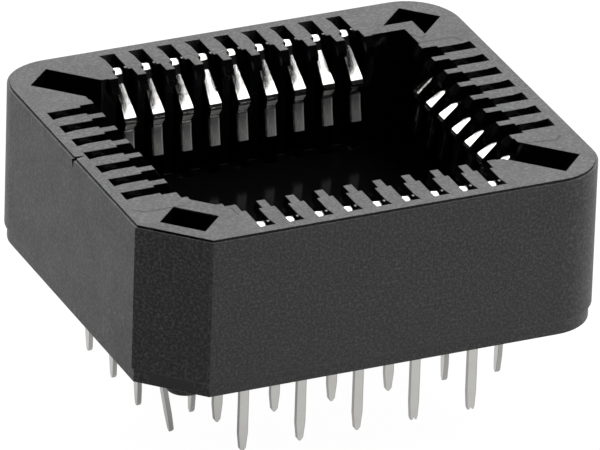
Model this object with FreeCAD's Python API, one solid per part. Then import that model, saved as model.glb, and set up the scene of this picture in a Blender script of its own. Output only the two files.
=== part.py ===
import FreeCAD, Part
import math
import os

# Through-hole socket for a square-leaded chip carrier, in millimetres
# Origin: middle of the board plane under the feet. +X along the long side, +Y to the back, +Z up.
# A side is drawn at the front wall: x along the wall, y inward from its outer face, z up.

# Contact grid
pitch = 1.27
long_count = 9
short_count = 7
contact_count = 2 * (long_count + short_count)
front_first_number = 5      # contact 1 is at the middle of the left side

# Housing body
end_margin = 5.0            # last slot's centre to the wall at the row's end
length = (long_count - 1) * pitch + 2 * end_margin
width = (short_count - 1) * pitch + 2 * end_margin
underside = 0.45
top = 7.5
corner_radius = 2.3
key_chamfer = 2.4           # leg of the cut corner, front left
band_top = 1.1              # the narrower band round the bottom
band_inset = 0.15
wall_inset = 0.03           # the wall's face lies in from the outline by this
rim_inset = 0.15            # the small step along the top edge, and its height
rim_height = 0.08
foot_radius = 0.75
foot_inset_x = 2.23
foot_inset_y = 2.06
foot_root = 0.3             # how far a foot's cylinder runs into the body

# Cavity
floor = 2.65
rib_face = 3.0              # outer wall to the inner faces of the ribs' noses
rib_lead = 0.26             # the noses lean back this far over the lead-in
lead_height = 0.4
lead_past = 0.12            # the lead-in runs this far past the end ribs
nose_low = 6.85             # underside of the noses
end_face = 2.68             # outer wall to the cavity's sides past the end ribs and below the noses
cavity_key = 0.79           # leg of the cavity's cut corner between the noses, front left

# Slots for the contacts
slot_right = -0.31          # the two sides of a slot, from the contact's middle
slot_left = 0.27
slot_outer = 0.61           # outer wall to the slot's blind end
slot_flare = 0.09           # the left side opens by this at the blind end
flare_length = 0.45
rib_shoulder = 2.1          # the ribs are narrower from here inward
rib_tip = 0.37
slot_inner_below = 3.25     # below the floor the slot reaches further in
slot_middle = (slot_left + slot_right) / 2
gap_half = (pitch - rib_tip) / 2

# Corner pockets, measured in from the outer corner along its diagonal
extractor_end = 2.18
extractor_width = 1.66
extractor_bevel = 0.25
extractor_reach = 5.4       # far enough in to open into the cavity
chevron_outer = 2.05
chevron_inner = 3.87
chevron_half = 0.92
key_hole_outer = 2.45
key_hole_inner = 3.87
key_hole_half = 0.98
key_hole_shift = 0.06       # the key hole's middle lies off the diagonal by this
key_hole_bevel = 0.07
pocket_floor = 2.0

# First contact's mark, a notch in the left wall's rim
notch_depth = 0.55
notch_half = 0.14
notch_fall = 0.5

# Contact strip
thickness = 0.2
strip_width = 0.43
beam_width = 0.62
neck_width = 0.34
bar_width = 0.4
leg = 1.09                  # outer wall to the leg's middle
leg_top = 6.95
dome_middle = 7.0           # height of the dome's centre
dome_radius = 0.34
neck_lean = 18.2            # the steep neck under the dome, in degrees from upright
neck_end = 6.71
beam_apex = (3.01, 5.83)    # points of the beam: distance in from the outer wall, height
apex_radius = 0.3
bar_start = (2.94, 5.2)
bar_end = (3.15, 3.89)
wide_at = 5.86              # the beam is widest at this height
bar_from = 5.3
foot_height = 0.75
bend_reach = 0.25           # the bends into the tail are two creases each, this far from their corner
base_high = 2.3             # up to here the leg reaches its slot's right side
outer_tail = 2.46           # outer wall to the two rings of tails
inner_tail = 5.0
jog_start = 2.9
jog_end = 4.4
jog_overlap = 0.3
groove_width = 0.6
groove_end = 5.3

# Tails
tail_tip = -3.64
tip_taper = 0.8
tip_half = 0.14
tip_end = 0.12              # the blunt point's own length
point_half = 0.05
tip_spare = 0.2
side_lean = 0.16            # the short sides' outer tails lean in by this at the tip
long_tail = 3
long_tail_tip = -4.35
bent_tail = 4
bend_height = -0.74
bend_angle = 10.5
split_tips = (11, 13)
split_half = 0.06
split_depth = 0.26

spare = 1.0                 # cutters run past open faces by this
nothing = 1e-6

# Each side's turn from the front, its row's count and the distance out to its wall
sides = (
    (0, long_count, width / 2),
    (90, short_count, length / 2),
    (180, long_count, width / 2),
    (270, short_count, length / 2),
)


def vector(x, y, z):
    """Point in space."""
    return FreeCAD.Vector(x, y, z)


def rounded_face(corners, radii):
    """Flat face over an outline; each corner is an arc of its radius, and 0 leaves it sharp."""
    count = len(corners)
    entries = []
    middles = []
    exits = []
    for i in range(count):
        corner = corners[i]
        back = (corners[i - 1] - corner).normalize()
        ahead = (corners[(i + 1) % count] - corner).normalize()
        half_angle = back.getAngle(ahead) / 2
        cut = radii[i] / math.tan(half_angle)
        inward = (back + ahead).normalize()
        entries.append(corner + back * cut)
        exits.append(corner + ahead * cut)
        middles.append(corner + inward * (radii[i] / math.sin(half_angle) - radii[i]))
    edges = []
    for i in range(count):
        following = entries[(i + 1) % count]
        if radii[i] > 0:
            edges.append(Part.Arc(entries[i], middles[i], exits[i]).toShape())
        if exits[i].distanceToPoint(following) > nothing:
            edges.append(Part.makeLine(exits[i], following))
    return Part.Face(Part.Wire(edges))


def plan_prism(points, low, high):
    """Upright prism over a plan outline of (x, y)."""
    return sharp_face([vector(x, y, low) for x, y in points]).extrude(vector(0, 0, high - low))


def front_prism(points, near, far):
    """Prism over an outline seen from the front, of (x, z)."""
    return sharp_face([vector(x, near, z) for x, z in points]).extrude(vector(0, far - near, 0))


def sharp_face(corners):
    """Flat face over an outline of straight lines."""
    return Part.Face(Part.makePolygon(corners + corners[:1]))


def strip_outline(path, radii, breadth):
    """Outline of an even band along a path, and the radius of each of its corners."""
    left = []
    right = []
    left_radii = []
    right_radii = []
    for i in range(len(path)):
        before = path[i - 1] if i > 0 else None
        after = path[i + 1] if i + 1 < len(path) else None
        coming = heading(before, path[i]) if before else heading(path[i], after)
        going = heading(path[i], after) if after else coming
        turn = coming[0] * going[1] - coming[1] * going[0]
        side = math.copysign(breadth / 2, turn) if radii[i] > 0 else 0
        mitre = breadth / 2 / (1 + coming[0] * going[0] + coming[1] * going[1])
        across = (-(coming[1] + going[1]) * mitre, (coming[0] + going[0]) * mitre)
        left.append((path[i][0] + across[0], path[i][1] + across[1]))
        right.append((path[i][0] - across[0], path[i][1] - across[1]))
        left_radii.append(radii[i] - side)
        right_radii.append(radii[i] + side)
    return left + right[::-1], left_radii + right_radii[::-1]


def heading(start, end):
    """Unit direction from one point of a path to the next."""
    span = math.hypot(end[0] - start[0], end[1] - start[1])
    return (end[0] - start[0]) / span, (end[1] - start[1]) / span


def bent_strip(path, radii, middle, across):
    """Strip bent along a side view path of (y, z), with its middle and its width across."""
    points, corner_radii = strip_outline(path, radii, thickness)
    corners = [vector(middle - across / 2, y, z) for y, z in points]
    return rounded_face(corners, corner_radii).extrude(vector(across, 0, 0))


def stations():
    """Each contact's number, turn of its side, wall distance, place along the wall, tail ring."""
    listed = []
    for turn, count, wall in sides:
        for index in range(count):
            number = (len(listed) + front_first_number - 1) % contact_count + 1
            along = (index - (count - 1) / 2) * pitch
            listed.append((number, turn, wall, along, index % 2 == 1))
    return listed


def to_side(shape, turn, wall, along):
    """Carry a shape drawn at the front wall to its own side and place."""
    shape.translate(vector(along, -wall, 0))
    shape.rotate(vector(0, 0, 0), vector(0, 0, 1), turn)
    return shape


def creased(path):
    """The path with each inner corner cut across, as a bend of two creases."""
    points = path[:1]
    for i in range(1, len(path) - 1):
        back = heading(path[i], path[i - 1])
        ahead = heading(path[i], path[i + 1])
        points.append((path[i][0] + back[0] * bend_reach, path[i][1] + back[1] * bend_reach))
        points.append((path[i][0] + ahead[0] * bend_reach, path[i][1] + ahead[1] * bend_reach))
    return points + path[-1:]


def body_face(inset, height):
    """The housing's outline: three round corners and the cut one."""
    x = length / 2 - inset
    y = width / 2 - inset
    cut = key_chamfer - inset * (2 - math.sqrt(2))
    radius = corner_radius - inset
    points = [(cut - x, -y), (x, -y), (x, y), (-x, y), (-x, cut - y)]
    return rounded_face([vector(px, py, height) for px, py in points], [0, radius, radius, radius, 0])


def body_block():
    """Outside of the housing: bottom band, slope, wall, stepped rim and feet."""
    slope = band_inset - wall_inset
    slope_low = band_top - slope
    rim_low = top - rim_height
    wall = body_face(wall_inset, slope_low).extrude(vector(0, 0, rim_low - slope_low))
    lower_edges = [edge for edge in wall.Edges if edge.BoundBox.ZMax < band_top]
    pieces = [
        body_face(band_inset, underside).extrude(vector(0, 0, slope_low - underside)),
        body_face(rim_inset, rim_low).extrude(vector(0, 0, rim_height)),
    ]
    for sign_x in (-1, 1):
        for sign_y in (-1, 1):
            spot = vector(sign_x * (length / 2 - foot_inset_x), sign_y * (width / 2 - foot_inset_y), 0)
            pieces.append(Part.makeCylinder(foot_radius, underside + foot_root, spot))
    return wall.makeChamfer(slope, lower_edges).fuse(pieces)


def hollow_outline(inset):
    """Plan outline of the chip's hollow, with its cut corner, at a distance in from the outer wall."""
    x = length / 2 - inset
    y = width / 2 - inset
    cut = cavity_key + 2 * (rib_face - inset)
    return [(cut - x, -y), (x, -y), (x, y), (-x, y), (-x, cut - y)]


def cavity_cutters():
    """The chip's hollow, wider below the noses and past the end ribs, and the lead-ins."""
    cutters = [
        plan_prism(hollow_outline(rib_face), floor, top + spare),
        plan_prism(hollow_outline(end_face), floor, nose_low),
    ]
    near_x = end_rib_edge(long_count)
    near_y = end_rib_edge(short_count)
    far_x = length / 2 - end_face
    far_y = width / 2 - end_face
    for sign_x, sign_y in ((1, 1), (-1, 1), (1, -1)):
        points = [(near_x, near_y), (far_x, near_y), (far_x, far_y), (near_x, far_y)]
        placed = [(sign_x * px, sign_y * py) for px, py in points]
        cutters.append(plan_prism(placed, floor, top + spare))
    for turn, count, wall in sides:
        cutters.append(lead_cutter(turn, count, wall))
    return cutters


def lead_cutter(turn, count, wall):
    """Sloping lead-in across the tips of one side's ribs."""
    half = end_rib_edge(count) + lead_past
    high_y = rib_face - rib_lead * (lead_height + spare) / lead_height
    profile = [(rib_face, top - lead_height), (high_y, top + spare), (rib_face, top + spare)]
    face = sharp_face([vector(-half, y, z) for y, z in profile])
    return to_side(face.extrude(vector(2 * half, 0, 0)), turn, wall, 0)


def end_rib_edge(count):
    """Distance from the middle of a row to the far side of its end rib."""
    return (count - 1) / 2 * pitch + gap_half + rib_tip


def slot_cutters(turn, wall, along):
    """One contact's slot: the gap between two ribs, and the way in from below."""
    flare_end = slot_outer + flare_length
    gap_right = slot_middle - gap_half
    gap_left = slot_middle + gap_half
    inside = rib_face + rib_tip
    gap = [
        (slot_right, slot_outer),
        (slot_left + slot_flare, slot_outer),
        (slot_left, flare_end),
        (slot_left, rib_shoulder),
        (gap_left, rib_shoulder),
        (gap_left, inside),
        (gap_right, inside),
        (gap_right, rib_shoulder),
        (slot_right, rib_shoulder),
    ]
    way_in = [
        (slot_right, slot_outer),
        (slot_left + slot_flare, slot_outer),
        (slot_left, flare_end),
        (slot_left, slot_inner_below),
        (slot_right, slot_inner_below),
    ]
    upper = plan_prism(gap, floor, top + spare)
    lower = plan_prism(way_in, underside - spare, floor + spare)
    return [to_side(upper, turn, wall, along), to_side(lower, turn, wall, along)]


def foot_path(start, end):
    """Plan path, as (x, y), of a foot that steps sideways to the inner ring of tails."""
    return [(0, start), (0, jog_start), (-pitch, jog_end), (-pitch, end)]


def groove_cutter(turn, wall, along):
    """Groove in the underside for a foot that runs to the inner ring."""
    path = foot_path(jog_start - jog_overlap, groove_end)
    points, radii = strip_outline(path, [0] * len(path), groove_width)
    ceiling = foot_height + thickness / 2
    return to_side(plan_prism(points, underside - spare, ceiling), turn, wall, along)


def corner_point(sign_x, sign_y, inward, across):
    """Plan point from its distance in along a corner's diagonal and across it."""
    x = length / 2 - (inward + across) / math.sqrt(2)
    y = width / 2 - (inward - across) / math.sqrt(2)
    return sign_x * x, sign_y * y


def corner_prism(sign_x, sign_y, local, low):
    """Upright cutter at a corner, open at the top."""
    points = [corner_point(sign_x, sign_y, inward, across) for inward, across in local]
    return plan_prism(points, low, top + spare)


def corner_cutters():
    """Two slots for an extraction tool, the arrow pocket and the key hole."""
    half = extractor_width / 2
    extractor = [
        (extractor_end, -half),
        (extractor_reach, -half),
        (extractor_reach, half),
        (extractor_end, half),
    ]
    chevron_notch = chevron_inner - chevron_half
    chevron = [
        (chevron_outer, -chevron_half),
        (chevron_inner, -chevron_half),
        (chevron_notch, 0),
        (chevron_inner, chevron_half),
        (chevron_outer, chevron_half),
    ]
    key_near = key_hole_shift - key_hole_half
    key_far = key_hole_shift + key_hole_half
    key_hole = [
        (key_hole_outer, key_near),
        (key_hole_inner, key_near),
        (key_hole_inner, key_far),
        (key_hole_outer, key_far),
    ]
    return [
        corner_prism(-1, 1, extractor, floor),
        corner_prism(1, -1, extractor, floor),
        bevel_cutter(1, -1, extractor_end, -1, -half, half, extractor_bevel),
        corner_prism(1, 1, chevron, pocket_floor),
        corner_prism(-1, -1, key_hole, pocket_floor),
        bevel_cutter(-1, -1, key_hole_inner, 1, key_near, key_far, key_hole_bevel),
    ]


def bevel_cutter(sign_x, sign_y, edge, side, start, end, size):
    """Bevel along an edge across a corner's diagonal; side is 1 on the far side of the hole."""
    profile = [
        (edge, top - size),
        (edge + side * (size + spare), top + spare),
        (edge - side * spare, top + spare),
        (edge - side * spare, top - size),
    ]
    corners = []
    for inward, z in profile:
        x, y = corner_point(sign_x, sign_y, inward, start)
        corners.append(vector(x, y, z))
    near = corner_point(sign_x, sign_y, 0, start)
    far = corner_point(sign_x, sign_y, 0, end)
    return sharp_face(corners).extrude(vector(far[0] - near[0], far[1] - near[1], 0))


def notch_cutter():
    """Small notch in the left wall's rim beside contact 1; its edge falls outward."""
    scale = (notch_depth + spare) / notch_depth
    deep = notch_depth - length / 2
    open_x = deep - notch_depth * scale
    points = [(deep, 0), (open_x, notch_half * scale), (open_x, -notch_half * scale)]
    face = sharp_face([vector(x, y, top) for x, y in points])
    return [face.extrude(vector(-notch_depth, 0, -notch_fall)), face.extrude(vector(0, 0, spare))]


def housing():
    """Moulded insulator in one piece."""
    cutters = cavity_cutters() + corner_cutters() + notch_cutter()
    for number, turn, wall, along, inner in stations():
        cutters += slot_cutters(turn, wall, along)
        if inner:
            cutters.append(groove_cutter(turn, wall, along))
    return body_block().cut(cutters).removeSplitter()


def contact_beam():
    """Top of a contact: the dome, its steep neck, the sloping beam that widens, and the bar below."""
    lean = math.radians(neck_lean)
    dome_corner = dome_middle + dome_radius / math.tan(lean / 2)
    neck_foot = (leg + (dome_corner - neck_end) * math.tan(lean), neck_end)
    path = [(leg, leg_top), (leg, dome_corner), neck_foot, beam_apex, bar_start, bar_end]
    strip = bent_strip(path, [0, dome_radius, 0, apex_radius, 0, 0], 0, beam_width)
    right_side = [
        (strip_width / 2, top),
        (strip_width / 2, leg_top),
        (neck_width / 2, neck_end),
        (beam_width / 2, wide_at),
        (bar_width / 2, bar_from),
        (bar_width / 2, floor),
    ]
    left_side = [(-x, z) for x, z in reversed(right_side)]
    return strip.common(front_prism(right_side + left_side, 0, inner_tail))


def tail_shape(tip, middle):
    """Front view of a tail as a prism: straight, then narrowing to a blunt point."""
    right_side = [
        (middle + strip_width / 2, leg_top + thickness),
        (middle + strip_width / 2, tip + tip_taper),
        (middle + tip_half, tip + tip_end),
        (middle + point_half, tip),
    ]
    left_side = [(2 * middle - x, z) for x, z in reversed(right_side)]
    return front_prism(right_side + left_side, 0, inner_tail + spare)


def outer_leg(tip, lean, bent):
    """Leg, foot and tail of a contact whose tail is in the outer ring."""
    end = tip - tip_spare
    corners = [(leg, foot_height), (outer_tail, foot_height)]
    if bent:
        lean = math.tan(math.radians(bend_angle)) * (bend_height - end)
        foot = creased(corners + [(outer_tail, bend_height)]) + [(outer_tail + lean, end)]
    else:
        foot = creased(corners + [(outer_tail + lean, end)])
    path = [(leg, leg_top)] + foot
    strip = bent_strip(path, [0] * len(path), 0, strip_width)
    return strip.common(tail_shape(tip, 0))


def inner_leg(tip):
    """Leg, stepped foot and tail of a contact whose tail is in the inner ring."""
    leg_path = [(leg, leg_top), (leg, foot_height), (jog_start, foot_height)]
    upright = bent_strip(leg_path, [0] * len(leg_path), 0, strip_width)
    tail_path = creased([(jog_end, foot_height), (inner_tail, foot_height), (inner_tail, tip - tip_spare)])
    tail = bent_strip(tail_path, [0] * len(tail_path), -pitch, strip_width)
    tail = tail.common(tail_shape(tip, -pitch))
    plan = foot_path(jog_start - jog_overlap, jog_end + jog_overlap)
    points, radii = strip_outline(plan, [0] * len(plan), strip_width)
    low = foot_height - thickness / 2
    return upright.fuse([tail, plan_prism(points, low, low + thickness)])


def contact(number, turn, wall, along, inner):
    """One stamped and bent contact, set in its slot."""
    tip = long_tail_tip if number == long_tail else tail_tip
    lean = side_lean if wall > width / 2 else 0
    lower = inner_leg(tip) if inner else outer_leg(tip, lean, number == bent_tail)
    foot_low = foot_height - thickness / 2
    base = Part.makeBox(
        strip_width / 2 - slot_right, thickness, base_high - foot_low,
        vector(slot_right, leg - thickness / 2, foot_low),
    )
    shape = lower.fuse([contact_beam(), base])
    if number in split_tips:
        split = [(-split_half, tip - tip_spare), (split_half, tip - tip_spare), (0, tip + split_depth)]
        shape = shape.cut(front_prism(split, 0, inner_tail))
    return to_side(shape.removeSplitter(), turn, wall, along)


os.makedirs("parts", exist_ok=True)
housing().exportStep("parts/housing.step")
for station in stations():
    contact(*station).exportStep("parts/contact_%02d.step" % station[0])
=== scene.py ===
import math

import bpy
import numpy as np
from mathutils import Matrix, Vector


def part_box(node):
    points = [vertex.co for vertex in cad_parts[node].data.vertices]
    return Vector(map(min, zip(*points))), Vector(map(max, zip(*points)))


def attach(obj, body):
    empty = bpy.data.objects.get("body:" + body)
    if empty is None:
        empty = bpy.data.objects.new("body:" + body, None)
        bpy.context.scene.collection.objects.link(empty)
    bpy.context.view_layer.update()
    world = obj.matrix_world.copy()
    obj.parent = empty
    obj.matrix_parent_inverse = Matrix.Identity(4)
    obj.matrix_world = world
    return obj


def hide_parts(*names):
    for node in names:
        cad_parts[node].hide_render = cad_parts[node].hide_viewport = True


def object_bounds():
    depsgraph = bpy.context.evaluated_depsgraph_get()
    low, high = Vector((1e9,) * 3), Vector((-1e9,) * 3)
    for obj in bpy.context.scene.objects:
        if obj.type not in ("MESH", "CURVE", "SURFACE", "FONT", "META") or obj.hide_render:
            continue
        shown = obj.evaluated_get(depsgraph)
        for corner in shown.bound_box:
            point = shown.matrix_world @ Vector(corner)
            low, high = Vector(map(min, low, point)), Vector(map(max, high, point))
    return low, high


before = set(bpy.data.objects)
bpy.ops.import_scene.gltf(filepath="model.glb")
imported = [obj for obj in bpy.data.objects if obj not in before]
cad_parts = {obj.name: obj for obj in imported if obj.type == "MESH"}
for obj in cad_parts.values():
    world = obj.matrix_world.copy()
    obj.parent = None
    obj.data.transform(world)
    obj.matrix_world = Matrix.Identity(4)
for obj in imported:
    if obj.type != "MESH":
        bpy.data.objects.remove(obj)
cad_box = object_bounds()


# Housing: one moulding in black glass-filled plastic. Its outer faces carry the mould's fine
# spark-eroded grain; the hollow, the ribs and the slots were left polished by the core pins. Hairlines
# on the top face show where the mould's inserts met, and a few light specks of glass lie on the walls.
MM = 0.001
top_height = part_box("housing")[1][2] / MM
top_skin = 0.004                    # what is this close to it is the top face
hollow_reach = (9.46, 8.19)         # the polished inside ends at the slots' blind ends,
hollow_heights = (0.52, 7.48)       # at these heights
corner_reach = 16.3                 # and toward the corners where |x| + |y| is this
inside_roughness, inside_uneven = 0.11, 0.06
outside_roughness, outside_uneven = 0.48, 0.14
inside_black = (0.005, 0.005, 0.0055, 1)
outside_black = (0.006, 0.006, 0.0065, 1)
outside_grey = (0.1, 0.101, 0.105, 1)
fine_grain = (9.0, 3.0, 0.7)        # waves to the millimetre, detail and sharpness
coarse_grain = (3.2, 3.0)
broad_patches = (0.7, 2.0)
grain_turns_grey = (0.42, 0.68)     # fine grain between these goes from black to grey,
patch_range = (0.3, 0.7)            # and coarse grain between these
patch_tones = (0.7, 1.0)            # takes the grey from this share to that
fine_relief, coarse_relief, line_relief, ring_relief = 0.75, 0.5, 1.2, 0.5
relief_depth = 0.016
# The notch's flanks are painted black: painted shade in the recess.
notch_box = (-9.3, 0.5, 6.85)       # the first contact's notch lies past this x, within this y, above this z
notch_cosine = 0.995                # and its flanks turn from x and z by more than this
edge_round = 0.035                  # every edge of the moulding has about this radius
edge_cosines = (0.999, 0.93)        # where the rounding turns by this to that, the edge is painted lighter by up to this: a painted highlight
painted_edge_highlight = 0.12                    # is lighter by up to this
# white of the dust specks, also used for the painted edge highlight
dust_and_edge_highlight_white = (0.42, 0.42, 0.42, 1)
dust_specks = {"Density": 1.6, "Size": 0.045, "Share": 0.1}
glass_specks = {"Density": 5.0, "Size": 0.12, "Share": 0.09}
dust_light, glass_light = 0.6, 0.16
line_width, line_dark = 0.036, 0.9
insert_lines = (                    # ends of each hairline on the top face, x and y
    ((-9.58, -5.10), (-9.25, -5.40)),
    ((-9.25, -5.40), (-7.45, -5.43)),
    ((-5.85, -6.30), (-5.80, -6.95)),
    ((7.40, 4.74), (9.00, 4.70)),
    ((9.00, 4.70), (9.17, 4.28)),
    ((7.41, 5.57), (7.60, 5.25)),
    ((7.60, 5.25), (7.76, 5.12)),
    ((7.76, 5.12), (7.95, 5.26)),
    ((7.60, -5.17), (9.00, -5.35)),
    ((9.00, -5.35), (9.25, -5.05)),
)
left_wall = -10.0                   # what is past this x is the left wall
ejector_mark = (-1.3, 5.2, 0.5)     # round mark of an ejector pin on it: y, z, radius
ring_width = (0.015, 0.06)


def add_node(tree, kind, **settings):
    """New node; its attributes are set by name."""
    node = tree.nodes.new(kind)
    for key, value in settings.items():
        setattr(node, key, value)
    return node


def feed(tree, source, target):
    """Link a socket to an input, or write a plain value into it."""
    if isinstance(source, bpy.types.NodeSocket):
        tree.links.new(source, target)
    elif source is not None:
        target.default_value = source


def math_node(tree, operation, first, second=None, clamp=False):
    """Math on sockets or numbers; returns the result's socket."""
    node = add_node(tree, "ShaderNodeMath", operation=operation, use_clamp=clamp)
    feed(tree, first, node.inputs[0])
    feed(tree, second, node.inputs[1])
    return node.outputs[0]


def within(tree, value, low, high):
    """1 where a value is between two others: |value - their middle| <= half their distance."""
    node = add_node(tree, "ShaderNodeMath", operation="COMPARE")
    for socket, entry in zip(node.inputs, (value, (low + high) / 2, (high - low) / 2)):
        feed(tree, entry, socket)
    return node.outputs[0]


def product(tree, first, *others):
    """Product of sockets or numbers."""
    for other in others:
        first = math_node(tree, "MULTIPLY", first, other)
    return first


def vector_math(tree, operation, first, second=None, output="Vector"):
    """Vector math on sockets or triples."""
    node = add_node(tree, "ShaderNodeVectorMath", operation=operation)
    feed(tree, first, node.inputs[0])
    feed(tree, second, node.inputs[1])
    return node.outputs[output]


def split(tree, vector):
    """The three parts of a vector."""
    node = add_node(tree, "ShaderNodeSeparateXYZ")
    feed(tree, vector, node.inputs[0])
    return node.outputs


def ramp_between(tree, value, low, high, to_low=0.0, to_high=1.0, soft=True):
    """Map a value from one range to another, clamped."""
    node = add_node(tree, "ShaderNodeMapRange", interpolation_type="SMOOTHSTEP" if soft else "LINEAR")
    for socket, entry in zip(node.inputs, (value, low, high, to_low, to_high)):
        feed(tree, entry, socket)
    return node.outputs[0]


def blend_colour(tree, share, first, second):
    """Colour between two, by a share."""
    node = add_node(tree, "ShaderNodeMix", data_type="RGBA")
    feed(tree, share, node.inputs["Factor"])
    feed(tree, first, node.inputs["A"])
    feed(tree, second, node.inputs["B"])
    return node.outputs["Result"]


def cloud(tree, place, scale, detail=2.0, sharp=0.5):
    """Noise over a place in millimetres."""
    node = add_node(tree, "ShaderNodeTexNoise")
    feed(tree, place, node.inputs["Vector"])
    node.inputs["Scale"].default_value = scale
    node.inputs["Detail"].default_value = detail
    node.inputs["Roughness"].default_value = sharp
    return node.outputs["Fac"]


def raise_surface(tree, shader, height, depth, strength=1.0, normal=None):
    """Bump the shader's normal by a height, whose unit is a depth in millimetres."""
    bump = add_node(tree, "ShaderNodeBump")
    bump.inputs["Distance"].default_value = depth * MM
    bump.inputs["Strength"].default_value = strength
    feed(tree, height, bump.inputs["Height"])
    feed(tree, normal, bump.inputs["Normal"])
    feed(tree, bump.outputs[0], shader.inputs["Normal"])


def new_material(name):
    """Empty node material with its tree and Principled shader."""
    material = bpy.data.materials.new(name)
    material.use_nodes = True
    tree = material.node_tree
    return material, tree, tree.nodes["Principled BSDF"]


def place_in_mm(tree):
    """Object coordinates in millimetres."""
    coordinates = add_node(tree, "ShaderNodeTexCoord")
    scaled = add_node(tree, "ShaderNodeVectorMath", operation="SCALE")
    scaled.inputs["Scale"].default_value = 1 / MM
    feed(tree, coordinates.outputs["Object"], scaled.inputs[0])
    return scaled.outputs[0]


def new_group(name, inputs, outputs):
    """Empty shader node group with named sockets."""
    group = bpy.data.node_groups.new(name, "ShaderNodeTree")
    for label, kind in inputs:
        group.interface.new_socket(name=label, in_out="INPUT", socket_type=kind)
    for label, kind in outputs:
        group.interface.new_socket(name=label, in_out="OUTPUT", socket_type=kind)
    start = group.nodes.new("NodeGroupInput")
    end = group.nodes.new("NodeGroupOutput")
    return group, start, end


def use_group(tree, group, **values):
    """Place a group in a tree and feed its inputs by name."""
    node = add_node(tree, "ShaderNodeGroup", node_tree=group)
    for label, value in values.items():
        feed(tree, value, node.inputs[label])
    return node.outputs


def specks_group():
    """Sparse round specks: cells of a Voronoi pattern, kept where their random colour is low."""
    group, start, end = new_group(
        "specks",
        (("Place", "NodeSocketVector"), ("Density", "NodeSocketFloat"), ("Size", "NodeSocketFloat"),
         ("Share", "NodeSocketFloat")),
        (("Mask", "NodeSocketFloat"),),
    )
    cells = add_node(group, "ShaderNodeTexVoronoi")
    feed(group, start.outputs["Place"], cells.inputs["Vector"])
    feed(group, start.outputs["Density"], cells.inputs["Scale"])
    chosen = math_node(group, "LESS_THAN", cells.outputs["Color"], start.outputs["Share"])
    near = math_node(group, "LESS_THAN", cells.outputs["Distance"], start.outputs["Size"])
    feed(group, product(group, chosen, near), end.inputs["Mask"])
    return group


def hairline_group():
    """Line between two points of a plane: one within the width of it, falling softly to zero. The
    nearest point is start + (end - start) x the clamped share (place - start) . (end - start) / length
    squared."""
    group, start, end = new_group(
        "hairline",
        (("Place", "NodeSocketVector"), ("Start", "NodeSocketVector"), ("End", "NodeSocketVector"),
         ("Width", "NodeSocketFloat")),
        (("Mask", "NodeSocketFloat"),),
    )
    flat = vector_math(group, "MULTIPLY", start.outputs["Place"], (1.0, 1.0, 0.0))
    from_start = vector_math(group, "SUBTRACT", flat, start.outputs["Start"])
    whole = vector_math(group, "SUBTRACT", start.outputs["End"], start.outputs["Start"])
    along = vector_math(group, "DOT_PRODUCT", from_start, whole, "Value")
    squared = vector_math(group, "DOT_PRODUCT", whole, whole, "Value")
    reach = add_node(group, "ShaderNodeVectorMath", operation="SCALE")
    feed(group, whole, reach.inputs[0])
    feed(group, math_node(group, "DIVIDE", along, squared, clamp=True), reach.inputs["Scale"])
    apart = vector_math(group, "SUBTRACT", from_start, reach.outputs[0])
    widths = math_node(group, "DIVIDE", vector_math(group, "LENGTH", apart, None, "Value"), start.outputs["Width"])
    feed(group, ramp_between(group, widths, 0.6, 1.4, 1.0, 0.0), end.inputs["Mask"])
    return group


specks = specks_group()
hairline = hairline_group()


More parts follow.
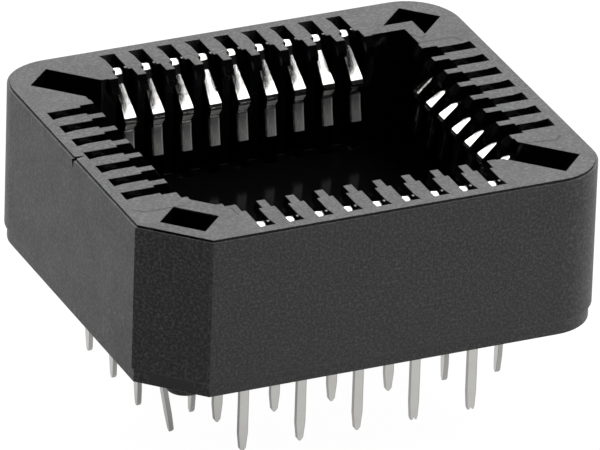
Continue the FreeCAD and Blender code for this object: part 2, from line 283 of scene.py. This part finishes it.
def moulded_black():
    """Black moulding: grained outside, polished inside, with a painted highlight along its edges, painted shade in
    the notch, and fine marks.
    """
    material, tree, shader = new_material("moulded_black")
    place = place_in_mm(tree)
    x, y, z = split(tree, place)
    away_x = math_node(tree, "ABSOLUTE", x)
    away_y = math_node(tree, "ABSOLUTE", y)
    inside = product(
        tree,
        math_node(tree, "LESS_THAN", away_x, hollow_reach[0]),
        math_node(tree, "LESS_THAN", away_y, hollow_reach[1]),
        within(tree, z, *hollow_heights),
        math_node(tree, "LESS_THAN", math_node(tree, "ADD", away_x, away_y), corner_reach),
    )
    outside = math_node(tree, "SUBTRACT", 1.0, inside)
    on_top = math_node(tree, "GREATER_THAN", z, top_height - top_skin)

    rounded = add_node(tree, "ShaderNodeBevel", samples=6)
    rounded.inputs["Radius"].default_value = edge_round * MM
    normal = add_node(tree, "ShaderNodeNewGeometry").outputs["True Normal"]
    edge = ramp_between(tree, vector_math(tree, "DOT_PRODUCT", rounded.outputs[0], normal, "Value"), *edge_cosines)

    fine = cloud(tree, place, *fine_grain)
    coarse = cloud(tree, place, *coarse_grain)
    broad = cloud(tree, place, *broad_patches)
    facing = split(tree, vector_math(tree, "ABSOLUTE", normal))
    # painted shade: the notch's flanks, coloured black below
    notch = product(
        tree,
        math_node(tree, "LESS_THAN", x, notch_box[0]),
        math_node(tree, "LESS_THAN", away_y, notch_box[1]),
        math_node(tree, "GREATER_THAN", z, notch_box[2]),
        math_node(tree, "LESS_THAN", math_node(tree, "MAXIMUM", facing[0], facing[2]), notch_cosine),
    )
    lines = 0.0
    for first, last in insert_lines:
        line = use_group(tree, hairline, Place=place, Start=(*first, 0.0), End=(*last, 0.0), Width=line_width)
        lines = math_node(tree, "MAXIMUM", lines, line["Mask"])
    lines = product(tree, lines, on_top)

    ring_y = math_node(tree, "SUBTRACT", y, ejector_mark[0])
    ring_z = math_node(tree, "SUBTRACT", z, ejector_mark[1])
    squares = math_node(tree, "ADD", product(tree, ring_y, ring_y), product(tree, ring_z, ring_z))
    off_ring = math_node(tree, "SUBTRACT", math_node(tree, "SQRT", squares), ejector_mark[2])
    ring = ramp_between(tree, math_node(tree, "ABSOLUTE", off_ring), *ring_width, 1.0, 0.0)
    ring = product(tree, ring, math_node(tree, "LESS_THAN", x, left_wall))

    dust = use_group(tree, specks, Place=place, **dust_specks)["Mask"]
    glass = use_group(tree, specks, Place=place, **glass_specks)["Mask"]
    light_spots = math_node(tree, "ADD", product(tree, dust, dust_light), product(tree, glass, glass_light))

    patches = ramp_between(tree, coarse, *patch_range, *patch_tones, soft=False)
    tone = product(tree, ramp_between(tree, fine, *grain_turns_grey), patches)
    skin = blend_colour(tree, tone, outside_black, outside_grey)
    skin = blend_colour(tree, inside, skin, inside_black)
    # painted highlight: the outer edges are painted lighter where their rounding would catch the light
    skin = blend_colour(tree, product(tree, edge, outside, painted_edge_highlight), skin, dust_and_edge_highlight_white)
    skin = blend_colour(tree, product(tree, light_spots, outside), skin, dust_and_edge_highlight_white)
    # the hairlines are dark marks of the mould; the notch part is painted shade
    marks = math_node(tree, "MAXIMUM", notch, product(tree, lines, line_dark))
    feed(tree, blend_colour(tree, marks, skin, inside_black), shader.inputs["Base Color"])

    matt = math_node(tree, "ADD", outside_roughness - outside_uneven / 2, product(tree, broad, outside_uneven))
    polish = math_node(tree, "ADD", inside_roughness - inside_uneven / 2, product(tree, broad, inside_uneven))
    feed(tree, ramp_between(tree, inside, 0.0, 1.0, matt, polish, soft=False), shader.inputs["Roughness"])

    relief = math_node(tree, "ADD", product(tree, fine, fine_relief), product(tree, coarse, coarse_relief))
    relief = product(tree, relief, outside)
    relief = math_node(tree, "SUBTRACT", relief, product(tree, lines, line_relief))
    relief = math_node(tree, "SUBTRACT", relief, product(tree, ring, ring_relief))
    raise_surface(tree, shader, relief, relief_depth, normal=rounded.outputs[0])
    return material


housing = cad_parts["housing"]
housing.data.materials.clear()
housing.data.materials.append(moulded_black())


# Contacts: spring bronze strip, stamped, bent and tin-plated, pushed into the slots from below. Each
# is one swept strip: the bar, the sloping beam, the dome, the leg, the foot and the tail. The plate is
# bright on the rolled faces and duller on the sheared edges.
pitch = 1.27
rows = ((0, 9, 8.81), (90, 7, 10.08), (180, 9, 8.81), (270, 7, 10.08))  # turn, contacts, middle to wall
front_first_number = 5
contact_total = 32
strip_thick = 0.2
strip_half = 0.215
leg_in = 1.09                       # distances in from the outer wall
outer_in = 2.46
inner_in = 5.0
inner_step = (2.9, 4.4)             # an inner tail's foot steps sideways between these
foot_high = 0.75
tip_low = -3.64
outer_short, inner_short = 0.05, 0.11    # the tips end this much above it
dome_high = 6.81                    # centre of the dome, its radius at the strip's middle and the neck's lean
dome_round = 0.34
neck_lean = 26.5
neck_foot = (1.86, 6.71)
apex = (3.17, 5.636)
bar_start = (2.96, 5.25)
bar_middle = (3.03, 4.6)
bar_end = (3.17, 3.89)
beam_radii = (0, 1.6, 0.2, 0.16, 0.14)   # bends from the bar's end to the neck's foot
foot_round, step_round = 0.24, 0.25
dome_corner = 5                     # corners are numbered along the strip; the leg is from this one to the next
sprung_to = 4.5                     # the beam's small differences end here
narrow_to = 4.9                     # and its own widths here
width_heights = (5.25, 5.72, 6.71, 6.95)   # half widths of the beam at these heights
width_halves = (0.21, 0.272, 0.155, 0.228)
shoulder_heights = (0.85, 0.97, 2.2, 2.32)  # the press-fit shoulder on one side of the leg
shoulder_widths = (0, 0.095, 0.095, 0)
beam_bevel, leg_bevel, burr = 0.022, 0.035, 0.015
crown_places = (0, 1.6, 3.0, 3.25, 3.5, 4.0, 4.4)       # at these corners the strip
crown_angles = (0.1, 0.06, 0.02, 0.09, 0.12, 0.15, 0.0)    # is rolled round across its width by this
twist_angles = (0.0, 0.0, 0.0, -0.1, -0.15, -0.2, 0.0)     # and turned about its line by this
long_contact, long_tip = 3, -4.35
bent_contact, bend_high, bend_angle, bend_round = 4, -0.74, 10.5, 1.2
side_row_lean = 0.16
tip_heights = (0, 0.12, 0.8)        # half widths of a tail this far up from its tip
tip_taper = (0.05, 0.14, strip_half)
split_taper = (0.13, 0.17, strip_half)
split_contacts = (11, 13)
split_depth = 0.11
run_step = 0.12
arc_step = math.radians(8)
piece_spread = (0.008, 0.012, 0.35)  # spread of the beam's slope, the place along the row and the twist
tin_bright = (0.80, 0.79, 0.77, 1)
tin_tail = (0.50, 0.495, 0.475, 1)
tin_grey = (0.42, 0.41, 0.40, 1)
tin_outline = (0.2, 0.198, 0.19, 1)
tail_heights = (0.6, -0.2)          # the plate turns to the tails' between these heights
sheared_from = (0.9, 0.985)         # shares of the half width where the sheared edge starts and is full
outline_from = (0.74, 0.92)         # and where the tails' darker outline does
streak_stretch = (5.0, 0.7, 1.0)    # the streaks run along the strip
streak_grain = (3.0, 3.0)
spot_grain = (2.2, 4.0, 0.6)
spot_range = (0.45, 0.75)
tin_roughness, streak_rough, tail_rough, sheared_rough = 0.05, 0.09, 0.16, 0.15
spot_grey, outline_dark, sheared_grey = 0.35, 0.75, 0.6
plate_depth, plate_strength = 0.006, 0.5
bar_heights = (3.65, 5.35)          # the back row's bars are matt and carry painted light and shade within these heights and this far up from the free end, with a painted highlight along one edge
bar_length, bar_fade = 1.35, 0.35   # and this far up from the free end, with a burnished edge
# Only the back row's bars get this painted light; the same bars in the other rows keep the plain tin.
back_row_from = 4.5
# the bar's colour runs from painted shade to painted light
bar_dark = (0.12, 0.12, 0.12, 1)
bar_light = (1, 0.99, 0.97, 1)
bar_streaks = (0.35, 0.62, 0.35, 0.95)   # streaks from this to that lighten the bar by this to that, and more toward its free end: the painted shade deepens toward the beam
bar_along = (bar_length, 0.2, 0.45, 1.0)  # and more toward its free end
# painted highlight along one edge of the bar, across the strip between these shares
painted_glint_from = (-0.62, -0.72)
bar_roughness, bar_cover = 0.6, 0.95


def bent_line(corners, radii):
    """Line through corners with round bends. A bend of radius r is centre + r (sin a forward - cos a
    inward), with a from minus to plus half the turn; runs between bends are divided evenly. Returns
    the points and, for each, the number of the corner that it has reached."""
    corners = np.array(corners, float)
    forward = np.diff(corners, axis=0)
    forward /= np.linalg.norm(forward, axis=1)[:, None]
    points, places = [], []
    last = corners[0]
    for i in range(1, len(corners)):
        radius = radii[i] if i < len(corners) - 1 else 0
        turn = math.acos(min(1.0, forward[i - 1] @ forward[i])) if radius else 0.0
        entry = corners[i] - forward[i - 1] * radius * math.tan(turn / 2)
        steps = max(1, round(np.linalg.norm(entry - last) / run_step))
        share = np.arange(steps) / steps
        points.append(last + (entry - last) * share[:, None])
        places.append(i - 1 + share)
        last = entry
        if radius:
            inward = forward[i] - forward[i - 1]
            inward /= np.linalg.norm(inward)
            onward = forward[i] + forward[i - 1]
            onward /= np.linalg.norm(onward)
            centre = corners[i] + inward * radius / math.cos(turn / 2)
            angle = np.linspace(-turn / 2, turn / 2, max(3, round(turn / arc_step)))[:, None]
            arc = centre + radius * (np.sin(angle) * onward - np.cos(angle) * inward)
            points.append(arc[:-1])
            places.append(np.full(len(arc) - 1, float(i)))
            last = arc[-1]
    points.append(last[None])
    places.append(np.array([len(corners) - 1.0]))
    return np.concatenate(points), np.concatenate(places)


def strip_line(number, side_row, inner):
    """Middle line of a contact as (across, in, up), from the bar's end to the tail's tip. The dome's
    corner is radius / tan(lean / 2) above its centre."""
    tip = long_tip if number == long_contact else tip_low + (inner_short if inner else outer_short)
    crown = dome_high + dome_round / math.tan(math.radians(neck_lean) / 2)
    corners = [(0, *bar_end), (0, *bar_middle), (0, *bar_start), (0, *apex), (0, *neck_foot), (0, leg_in, crown),
               (0, leg_in, foot_high)]
    radii = [*beam_radii, dome_round, foot_round]
    if inner:
        corners += [(0, inner_step[0], foot_high), (-pitch, inner_step[1], foot_high),
                    (-pitch, inner_in, foot_high), (-pitch, inner_in, tip)]
        radii += [step_round, step_round, foot_round, 0]
    elif number == bent_contact:
        end = outer_in + math.tan(math.radians(bend_angle)) * (bend_high - tip)
        corners += [(0, outer_in, foot_high), (0, outer_in, bend_high), (0, end, tip)]
        radii += [foot_round, bend_round, 0]
    else:
        corners += [(0, outer_in, foot_high), (0, outer_in + (side_row_lean if side_row else 0), tip)]
        radii += [foot_round, 0]
    return bent_line(corners, radii), tip


def strip_mesh(name, number, turn, wall, along, inner, wobble):
    """Strip swept along its line. Its section has fourteen points: five across each rolled face at plus
    and minus half the thickness, sheared edges at the half width, and small bevels between them, wider
    on the side the punch came from. A rolled face is lifted by the half width x (crown x share squared
    / 2 - twist x share). The UV map runs across the strip and along it, in millimetres."""
    (line, place), tip = strip_line(number, turn % 180 == 90, inner)
    line[:, 2] += np.where(place < sprung_to, wobble[0] * (line[:, 1] - leg_in), 0)
    ahead = np.gradient(line, axis=0)
    ahead /= np.linalg.norm(ahead, axis=1)[:, None]
    across = np.array([1.0, 0, 0]) - ahead * ahead[:, :1]
    across /= np.linalg.norm(across, axis=1)[:, None]
    face = np.cross(across, ahead)

    height = line[:, 2]
    half = np.where(place < narrow_to, np.interp(height, width_heights, width_halves), strip_half)
    taper = split_taper if number in split_contacts else tip_taper
    half = np.where(place > place.max() - 1, np.interp(height - tip, tip_heights, taper), half)
    in_leg = (place >= dome_corner) & (place < dome_corner + 1)
    right_half = half + np.where(in_leg, np.interp(height, shoulder_heights, shoulder_widths), 0)
    bevel = np.where(place < dome_corner, beam_bevel, leg_bevel)[:, None]

    spread = np.array((-1, -0.5, 0, 0.5, 1))
    reach = np.where(spread < 0, right_half[:, None], half[:, None])
    up_side = (reach - bevel) * spread
    down_side = (reach - burr) * spread
    flat = np.concatenate((up_side, half[:, None], half[:, None], down_side[:, ::-1],
                           -right_half[:, None], -right_half[:, None]), axis=1)
    deep = strip_thick / 2
    level = np.tile([deep] * 6 + [-deep] * 7 + [deep], (len(line), 1))
    level[:, (5, 13)] -= bevel
    level[:, (6, 12)] += burr
    crown = np.interp(place, crown_places, crown_angles)[:, None]
    twist = np.interp(place, crown_places, twist_angles)[:, None] * (1 + wobble[2])
    share = flat / strip_half
    lift = level + strip_half * (crown * share ** 2 / 2 - twist * share)
    rings = line[:, None] + flat[..., None] * across[:, None] + lift[..., None] * face[:, None]
    if number in split_contacts:
        rings[-1, (2, 9), 2] += split_depth

    angle = math.radians(turn)
    x = rings[..., 0] + along + wobble[1]
    y = rings[..., 1] - wall
    world = np.stack((x * math.cos(angle) - y * math.sin(angle), x * math.sin(angle) + y * math.cos(angle),
                      rings[..., 2]), axis=-1) * MM
    count, points = world.shape[:2]
    start = np.arange(count - 1)[:, None] * points
    here = np.arange(points)[None, :]
    there = (here + 1) % points
    quads = np.stack((start + here, start + points + here, start + points + there, start + there), axis=-1)
    ends = [(0, 1, 2, 9, 10, 11, 12, 13), (2, 3, 4, 5, 6, 7, 8, 9)]
    last = (count - 1) * points
    caps = ends + [tuple(last + p for p in cap[::-1]) for cap in ends]
    mesh = bpy.data.meshes.new(name)
    mesh.from_pydata(world.reshape(-1, 3), [], quads.reshape(-1, 4).tolist() + caps)

    length = np.concatenate(([0], np.cumsum(np.linalg.norm(np.diff(line, axis=0), axis=1))))
    edge_share = np.array((-0.9, -0.45, 0, 0.45, 0.9, 1, 1, 0.9, 0.45, 0, -0.45, -0.9, -1, -1))
    corner = np.empty(len(mesh.loops), np.int32)
    mesh.loops.foreach_get("vertex_index", corner)
    uv = np.stack((edge_share[corner % points], length[corner // points]), axis=1)
    layer = mesh.uv_layers.new(name="strip")
    layer.uv.foreach_set("vector", uv.astype(np.float32).ravel())
    mesh.polygons.foreach_set("use_smooth", np.ones(len(mesh.polygons), bool))
    mesh.set_sharp_from_angle(angle=math.radians(32))
    return mesh


def tin_plate():
    """Bright tin: smooth rolled faces with faint streaks, duller sheared edges, and tails with dim spots
    and a darker outline. The back row's bars are matt and painted with their light: painted shade toward the beam,
    lighter streaks, and a painted highlight along one edge."""
    material, tree, shader = new_material("tin_plate")
    place = place_in_mm(tree)
    _, depth, height = split(tree, place)
    strip = add_node(tree, "ShaderNodeUVMap", uv_map="strip").outputs[0]
    across, along, _ = split(tree, strip)
    toward_edge = math_node(tree, "ABSOLUTE", across)
    sheared = ramp_between(tree, toward_edge, *sheared_from)
    drawn = add_node(tree, "ShaderNodeMapping")
    drawn.inputs["Scale"].default_value = streak_stretch
    feed(tree, strip, drawn.inputs["Vector"])
    streaks = cloud(tree, drawn.outputs[0], *streak_grain)
    spots = cloud(tree, place, *spot_grain)
    tail = ramp_between(tree, height, *tail_heights)

    dull = product(tree, ramp_between(tree, spots, *spot_range), tail, spot_grey)
    outline = product(tree, ramp_between(tree, toward_edge, *outline_from), tail, outline_dark)
    plated = blend_colour(tree, tail, tin_bright, tin_tail)
    plated = blend_colour(tree, dull, plated, tin_grey)
    plated = blend_colour(tree, outline, plated, tin_outline)
    plated = blend_colour(tree, product(tree, sheared, sheared_grey), plated, tin_grey)
    rough = tin_roughness
    for mask, more in ((streaks, streak_rough), (tail, tail_rough), (sheared, sheared_rough)):
        rough = math_node(tree, "ADD", rough, product(tree, mask, more))

    # Painted light on the back row's bars: near white where lit, painted shade toward the beam, in streaks, with a
    # painted highlight along one edge.
    free_end = ramp_between(tree, along, bar_length, bar_length - bar_fade)
    in_back_row = math_node(tree, "GREATER_THAN", depth, back_row_from)
    matt = product(tree, within(tree, height, *bar_heights), free_end, in_back_row)
    streaks_and_painted_light = product(tree, ramp_between(tree, streaks, *bar_streaks), ramp_between(tree, along, *bar_along))
    streaks_and_painted_light = math_node(tree, "MAXIMUM", streaks_and_painted_light, ramp_between(tree, across, *painted_glint_from))
    painted_bar_light = blend_colour(tree, streaks_and_painted_light, bar_dark, bar_light)
    feed(tree, blend_colour(tree, matt, plated, painted_bar_light), shader.inputs["Base Color"])
    matt_roughness = product(tree, matt, bar_roughness)
    feed(tree, math_node(tree, "MAXIMUM", rough, matt_roughness), shader.inputs["Roughness"])
    feed(tree, math_node(tree, "SUBTRACT", 1.0, product(tree, matt, bar_cover)), shader.inputs["Metallic"])
    raise_surface(tree, shader, math_node(tree, "ADD", streaks, spots), plate_depth, plate_strength)
    return material


tin = tin_plate()
rng = np.random.default_rng(32)
placed = 0
for turn, count, wall in rows:
    for index in range(count):
        number = (placed + front_first_number - 1) % contact_total + 1
        placed += 1
        node_name = "contact_%02d" % number
        wobble = rng.normal(0, 1, 3) * piece_spread
        along = (index - (count - 1) / 2) * pitch
        mesh = strip_mesh("tin_" + node_name, number, turn, wall, along, index % 2 == 1, wobble)
        mesh.materials.append(tin)
        piece = bpy.data.objects.new("tin_" + node_name, mesh)
        bpy.context.scene.collection.objects.link(piece)
        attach(piece, "root")
        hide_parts(node_name)


# Stage: a plain white table under the longest tail. The camera, the metal and the gloss see it white,
# with the object's soft shadow kept on it. A broad soft light stands behind and another hangs overhead.
table_share = 0.9
table_height = cad_box[0][2]
table_half = 3.0
table_glow = 1.09
key_way = (-0.9, -0.42)             # toward the key corner, where the gloss sees less of the glow:
dimmed_by = 0.6                     # less by up to this,
dimmed_from = (-2.0, 12.0)          # from and to these distances in millimetres
room_strength = 0.012


def table_white():
    """White card: part glow for what looks at it, part plain white that takes the shadow."""
    material, tree, shader = new_material("table_white")
    shader.inputs["Base Color"].default_value = (0.9, 0.9, 0.9, 1)
    shader.inputs["Roughness"].default_value = 0.9
    shader.inputs["Specular IOR Level"].default_value = 0.0
    glow = add_node(tree, "ShaderNodeEmission")
    glow.inputs["Color"].default_value = (1, 1, 1, 1)
    rays = add_node(tree, "ShaderNodeLightPath")
    x, y, _ = split(tree, place_in_mm(tree))
    toward_key = math_node(tree, "ADD", product(tree, x, key_way[0]), product(tree, y, key_way[1]))
    sideways = math_node(tree, "ADD", product(tree, x, key_way[1]), product(tree, y, -key_way[0]))
    in_front = math_node(tree, "SUBTRACT", toward_key, math_node(tree, "ABSOLUTE", sideways))
    in_front = ramp_between(tree, in_front, *dimmed_from)
    dimmer = product(tree, in_front, rays.outputs["Is Glossy Ray"], dimmed_by)
    feed(tree, math_node(tree, "SUBTRACT", table_glow, dimmer), glow.inputs["Strength"])
    seen = math_node(tree, "MAXIMUM", rays.outputs["Is Camera Ray"], rays.outputs["Is Glossy Ray"])
    seen = math_node(tree, "MAXIMUM", seen, rays.outputs["Is Transmission Ray"])
    mixed = add_node(tree, "ShaderNodeMixShader")
    feed(tree, product(tree, seen, table_share), mixed.inputs[0])
    feed(tree, shader.outputs[0], mixed.inputs[1])
    feed(tree, glow.outputs[0], mixed.inputs[2])
    feed(tree, mixed.outputs[0], tree.nodes["Material Output"].inputs["Surface"])
    return material


table_mesh = bpy.data.meshes.new("table")
table_corners = np.array(((-1, -1), (1, -1), (1, 1), (-1, 1))) * table_half
table_mesh.from_pydata([(cx, cy, table_height) for cx, cy in table_corners.tolist()], [], [(0, 1, 2, 3)])
table_object = bpy.data.objects.new("table", table_mesh)
table_mesh.materials.append(table_white())
bpy.context.scene.collection.objects.link(table_object)

world = bpy.data.worlds.new("room")
bpy.context.scene.world = world
world.use_nodes = True
room = world.node_tree.nodes["Background"]
room.inputs["Color"].default_value = (1, 1, 1, 1)
room.inputs["Strength"].default_value = room_strength


def soft_light(name, place, facing, width, height, radiance):
    """Soft box at a place, its back toward a facing direction. Its power is pi x area x radiance."""
    lamp = bpy.data.lights.new(name, "AREA")
    lamp.shape = "RECTANGLE"
    lamp.size = width
    lamp.size_y = height
    lamp.energy = math.pi * width * height * radiance
    holder = bpy.data.objects.new(name, lamp)
    turn = Vector(facing).to_track_quat("Z", "Y").to_matrix().to_4x4()
    holder.matrix_world = Matrix.Translation(place) @ turn
    bpy.context.scene.collection.objects.link(holder)


soft_light("back_light", (0.09, 0.52, 0.35), (0.12, 0.8, 0.55), 1.0, 0.38, 3.3)
soft_light("overhead_light", (0.39, 0.14, 0.5), (0, 0, 1), 0.6, 0.82, 2.5)


# Camera: at the photograph's place. Its direction, roll, distance and focal length were fitted to the
# grid of the contacts and their tails, which stand 1.27 mm apart.
camera_azimuth = math.radians(-24.718)
camera_elevation = math.radians(27.084)
camera_roll = math.radians(1.9128)
camera_target = Vector((-3.8568, -8.6198, 7.5)) * MM
camera_distance = 425.177 * MM
focal_pixels = 10675.91
image_width = 600
sensor_width = 36.0

backward = Vector((
    math.sin(camera_azimuth) * math.cos(camera_elevation),
    -math.cos(camera_azimuth) * math.cos(camera_elevation),
    math.sin(camera_elevation),
))
level = Vector((0, 0, 1)).cross(backward).normalized()
upright = backward.cross(level)
right = math.cos(camera_roll) * level + math.sin(camera_roll) * upright
up = -math.sin(camera_roll) * level + math.cos(camera_roll) * upright
pose = Matrix((right, up, backward)).transposed().to_4x4()
lens = bpy.data.cameras.new("photo_camera")
lens.sensor_width = sensor_width
lens.lens = focal_pixels / image_width * sensor_width
lens.clip_start = 0.01
camera = bpy.data.objects.new("photo_camera", lens)
camera.matrix_world = Matrix.Translation(camera_target + backward * camera_distance) @ pose
bpy.context.scene.collection.objects.link(camera)
bpy.context.scene.camera = camera
bpy.context.scene.view_settings.view_transform = "Standard"
